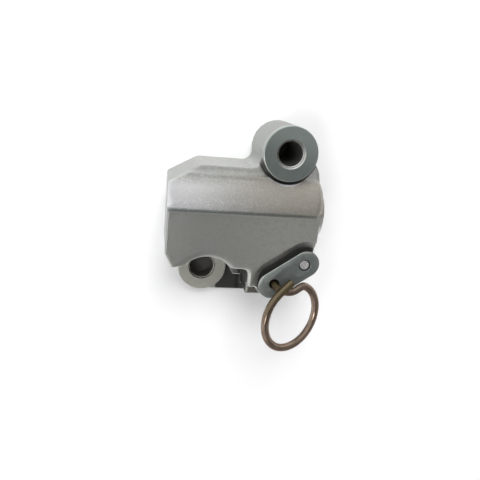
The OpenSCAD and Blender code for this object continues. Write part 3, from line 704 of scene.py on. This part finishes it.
def pinPath():  # straight leg, two cubic curves, the ring's arc and a tail, with an up-vector at each point
    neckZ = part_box("release_lever")[1].z + pin["over"]
    stop = np.array([stopAt[0], stopAt[1], neckZ])
    foot = np.array([stop[0], stop[1], pin["foot"]])
    legTop = stop - [0, 0, pin["bendFrom"]]
    leg = foot + np.linspace(0, 1, 12, endpoint=False)[:, None] * (legTop - foot)
    middle = stop + [pin["run"], -pin["dip"], -pin["fall"]]
    way = unit(np.array(pin["way"]))
    tilt = math.radians(pin["tilt"])
    side = np.array([math.cos(tilt), 0, -math.sin(tilt)])
    up = np.array([math.sin(tilt), 0, math.cos(tilt)])
    centre = stop + [pin["ringAcross"], -pin["ringDown"], pin["rise"]]
    turn = np.radians(pin["start"] - np.linspace(0, pin["sweep"], 161))[:, None]
    ring = centre + pin["ringR"] * (np.cos(turn) * side + np.sin(turn) * np.array([0, 1, 0]))
    ways = np.sin(turn) * side - np.cos(turn) * np.array([0, 1, 0])
    overLeg = legTop + [0, 0, pin["bendFrom"] + pin["lap"]]
    bend = curve(legTop, overLeg, middle - pin["bendPull"] * way, middle, 30)
    neck = curve(middle, middle + pin["neckPull"] * way, ring[0] - pin["neckPull"] * ways[0], ring[0], 20)
    s = np.linspace(0, 1, 9)[1:, None]
    tail = ring[-1] + s * pin["tail"] * ways[-1] + s * s * pin["tailLift"] * np.array([0, 0, 1])
    path = np.concatenate([leg, bend, neck, ring, tail])
    share = np.clip((np.arange(len(path)) - len(leg)) / len(bend), 0, 1)[:, None]
    return path, (1 - share) * np.array([-1.0, 0, 0]) + share * up


def sweepWire(path, ups, radius, sides, endRound):
    # a circle carried along the path: point = path + r (cos a * side + sin a * rise); both ends shrink
    along = np.gradient(path, axis=0)
    along /= np.linalg.norm(along, axis=1, keepdims=True)
    side = np.cross(ups, along)
    side /= np.linalg.norm(side, axis=1, keepdims=True)
    rise = np.cross(along, side)
    cap = np.radians(np.array([0.0, 30.0, 60.0, 90.0]))
    shrink = np.concatenate([[0.0], (radius - endRound + endRound * np.sin(cap)) / radius])
    push = np.concatenate([[0.0], endRound * (1 - np.cos(cap))])
    count = len(shrink)
    index = np.concatenate([np.zeros(count, int), np.arange(1, len(path) - 1), np.full(count, len(path) - 1)])
    scale = np.concatenate([shrink, np.ones(len(path) - 2), shrink[::-1]])
    shift = np.concatenate([push, np.zeros(len(path) - 2), -push[::-1]])
    turn = np.linspace(0, 2 * np.pi, sides, endpoint=False)[None, :, None]
    around = np.cos(turn) * side[index][:, None] + np.sin(turn) * rise[index][:, None]
    middle = path[index] + shift[:, None] * along[index]
    return middle[:, None] + radius * scale[:, None, None] * around


def makePin():
    path, ups = pinPath()
    sides = pin["sides"]
    points = sweepWire(path, ups, pin["wire"], sides, pin["endRound"])
    faces = gridFaces(len(points), sides)
    mesh = makePiece("stopPin", points, faces, temperedWire, "stop_pin", ["stop_pin"]).data
    corners = np.zeros(len(mesh.loops), int)
    mesh.loops.foreach_get("vertex_index", corners)
    lengths = np.concatenate([[0.0], np.cumsum(np.linalg.norm(np.diff(points.mean(1), axis=0), axis=1))])
    around = (corners % sides) / sides
    farCorner = np.arange(len(corners)) % 4 % 3 != 0  # the far side of each face, which closes the seam
    around = np.where(farCorner & (around == 0), 1.0, around)
    wireMap = np.stack([lengths[corners // sides] / (10 * mm), around], -1)
    mesh.uv_layers.new(name="wire").data.foreach_set("uv", wireMap.astype(np.float32).ravel())
    tidyMesh(mesh)
    mesh.shade_smooth()
    print("stop pin:", len(mesh.polygons), "faces")


# The pawl shaft: a turned pin whose end is staked by punch marks (each: across, up, width in mm)
shaft = {"r": 1.4 * mm, "head": 0.18 * mm, "foot": 0.2 * mm, "sides": 48, "dentDeep": 0.12 * mm,
         "dents": ((-0.5, 0.32, 0.46), (0.32, -0.46, 0.42), (0.5, 0.46, 0.35))}


def makeShaft():
    # a profile turned round the shaft's axis: up the side, over the edge and in to the middle, less the dents
    low, high = [np.array(v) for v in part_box("pawl_shaft")]
    centre = (low + high) / 2
    edge = np.linspace(0, np.pi / 2, 7)
    inner = shaft["r"] - shaft["head"]
    out = np.concatenate([[0, shaft["r"] - shaft["foot"]], np.full(13, shaft["r"]),
                          inner + shaft["head"] * np.cos(edge), np.linspace(inner, 0, 14)[1:]])
    side = np.linspace(low[2] + shaft["foot"], high[2] - shaft["head"], 13)
    climb = np.concatenate([[low[2], low[2]], side, high[2] - shaft["head"] * (1 - np.sin(edge)),
                            np.full(13, high[2])])
    turn = np.linspace(0, 2 * np.pi, shaft["sides"], endpoint=False)
    across = out[:, None] * np.cos(turn)
    deep = out[:, None] * np.sin(turn)
    z = np.repeat(climb[:, None], shaft["sides"], 1)
    top = (z > high[2] - shaft["head"]) * 1.0
    for dentX, dentY, wide in shaft["dents"]:
        away = ((across / mm - dentX) ** 2 + (deep / mm - dentY) ** 2) / wide ** 2
        z = z - shaft["dentDeep"] * np.exp(-2 * away) * top
    points = np.stack([centre[0] + across, centre[1] + deep, z], -1)
    faces = gridFaces(len(out), shaft["sides"])
    mesh = makePiece("pawlShaft", points, faces, pinSteel, "lever", ["pawl_shaft"]).data
    tidyMesh(mesh)
    mesh.shade_smooth()
    print("pawl shaft:", len(mesh.polygons), "faces")


# The two short springs: the coils of the solids
springs = {"pawlSpring": {"node": "pawl_spring", "joint": "lever_turn", "axis": (0.0, 1.0, 0.0),
                          "keep": 0.84},
           "valveSpring": {"node": "check_valve_spring", "joint": "ball_lift", "axis": (1.0, 0.0, 0.0),
                           "keep": 0.69}}


def makeSpring(name, spring):  # a merged copy of the solid
    node = spring["node"]
    piece = finishPiece(name, mergedCopy(node), springSteel, "housing", [node])
    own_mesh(piece)
    print(name + ":", len(piece.data.polygons), "faces")


makeCasting()
for name, spring in springs.items():
    makeSpring(name, spring)
makeRing("bossRing", rings["boss"], bossTurned)
makeRing("earRing", rings["ear"], earTurned)
makeLever()
makePin()
makeShaft()
for node, finish in (("plunger", groundSteel), ("vent_disc", pressedSteel), ("plunger_spring", springSteel),
                     ("check_valve_seat", pressedSteel), ("check_valve_ball", groundSteel),
                     ("check_valve_cage", pressedSteel), ("pawl", platedSteel)):
    solid = frame["nodes"][node]
    solid.data.materials.clear()
    solid.data.materials.append(finish)
print("inner pieces dressed")


# Floor: matte, white to the eye and to the metal's mirrors, with painted shade in the bolt holes, and pure white
# far away
ground = {"half": 1.5, "matte": (0.8, 0.8, 0.8, 1.0), "shown": (0.99, 0.99, 1.0, 1.0),
          "mirrored": (0.99, 0.99, 1.0, 1.0), "deep": (0.125, 0.122, 0.112, 1.0),
          "deepR": 4.6 * mm, "fadeFrom": 0.1, "fadeFull": 0.4}


def makeFloor():
    half = ground["half"]
    corners = np.array([[-half, -half, 0], [half, -half, 0], [half, half, 0], [-half, half, 0]])
    mesh = bpy.data.meshes.new("ground")
    mesh.from_pydata(corners.tolist(), [], [[0, 1, 2, 3]])
    floor = bpy.data.objects.new("ground", mesh)
    bpy.context.scene.collection.objects.link(floor)
    paint = Paint("ground")
    paint.tree.nodes.remove(paint.shader)
    colour = ground["matte"]
    for ray, look in (("Is Glossy Ray", "mirrored"), ("Is Camera Ray", "shown")):
        colour = paint.mix(paint.node("ShaderNodeLightPath", output=ray), colour, ground[look])
    fromUpper, fromLower = holeDistances(paint)
    # painted shade on the floor inside the bolt holes
    inHole = paint.ease(fromUpper.least(fromLower), ground["deepR"], ground["deepR"] - 0.5 * mm)
    colour = paint.mix(inHole, colour, ground["deep"])
    matte = paint.node("ShaderNodeBsdfDiffuse", {}, {"Color": colour})
    white = paint.node("ShaderNodeEmission", {}, {"Color": (1.0, 1.0, 1.0, 1.0)})
    away = paint.ease(paint.round((0.0, 0.0)), ground["fadeFrom"], ground["fadeFull"])
    away = away * paint.node("ShaderNodeLightPath", output="Is Camera Ray")
    shown = paint.node("ShaderNodeMixShader", {}, {0: away, 1: matte, 2: white})
    paint.feed(paint.tree.nodes["Material Output"].inputs["Surface"], shown)
    mesh.materials.append(paint.material)


# Light: a soft lamp in the north for the shadows, and a surround that the metal mirrors, dim overhead
light = {"power": 10.0, "way": (0.0, 0.68, 0.73), "far": 1.2, "size": 0.6, "aim": (-0.01, -0.022, 0.012),
         "patch": (0.05, -0.3, 0.953), "patchFrom": 0.82, "patchFull": 0.97, "dim": 0.16, "even": 0.27,
         "west": 0.5, "eastEnd": 0.35, "westEnd": -0.15, "north": 0.25, "northFrom": 0.2, "northFull": 0.9,
         "spot": (-0.39, -0.22, 0.894), "spotFrom": 0.98, "spotFull": 0.992, "spotGlow": 5.2}


def makeLamp():  # a square light that faces the object
    back = unit(np.array(light["way"]))
    across = unit(np.cross([0.0, 1.0, 0.0], back))
    turn = np.stack([across, np.cross(back, across), back], 1)
    lamp = bpy.data.lights.new("key", "AREA")
    lamp.size = light["size"]
    lamp.energy = light["power"]
    holder = bpy.data.objects.new("key", lamp)
    holder.matrix_world = placed(turn, np.array(light["aim"]) + light["far"] * back)
    holder.visible_glossy = False
    bpy.context.scene.collection.objects.link(holder)


def makeWorld():
    world = bpy.data.worlds.new("surround")
    bpy.context.scene.world = world
    world.use_nodes = True
    sheet = Sheet(world.node_tree)
    way = sheet.node("ShaderNodeTexCoord", output="Generated")
    east, north, high = sheet.split(way)
    toPatch = light["patch"][0] * east + light["patch"][1] * north + light["patch"][2] * high
    glow = light["even"] + light["west"] * sheet.ease(east, light["eastEnd"], light["westEnd"])
    glow = glow + light["north"] * sheet.ease(north, light["northFrom"], light["northFull"])
    glow = glow * (1 - (1 - light["dim"]) * sheet.ease(toPatch, light["patchFrom"], light["patchFull"]))
    toSpot = light["spot"][0] * east + light["spot"][1] * north + light["spot"][2] * high
    glow = glow + light["spotGlow"] * sheet.ease(toSpot, light["spotFrom"], light["spotFull"])
    seen = sheet.node("ShaderNodeLightPath", output="Is Camera Ray")
    sky = world.node_tree.nodes["Background"]
    sheet.feed(sky.inputs["Strength"], glow * (1 - seen) + seen)
    sheet.feed(sky.inputs["Color"], (1.0, 1.0, 1.0, 1.0))


makeFloor()
makeLamp()
makeWorld()
bpy.context.scene.view_settings.view_transform = "Standard"
print("floor and light set")
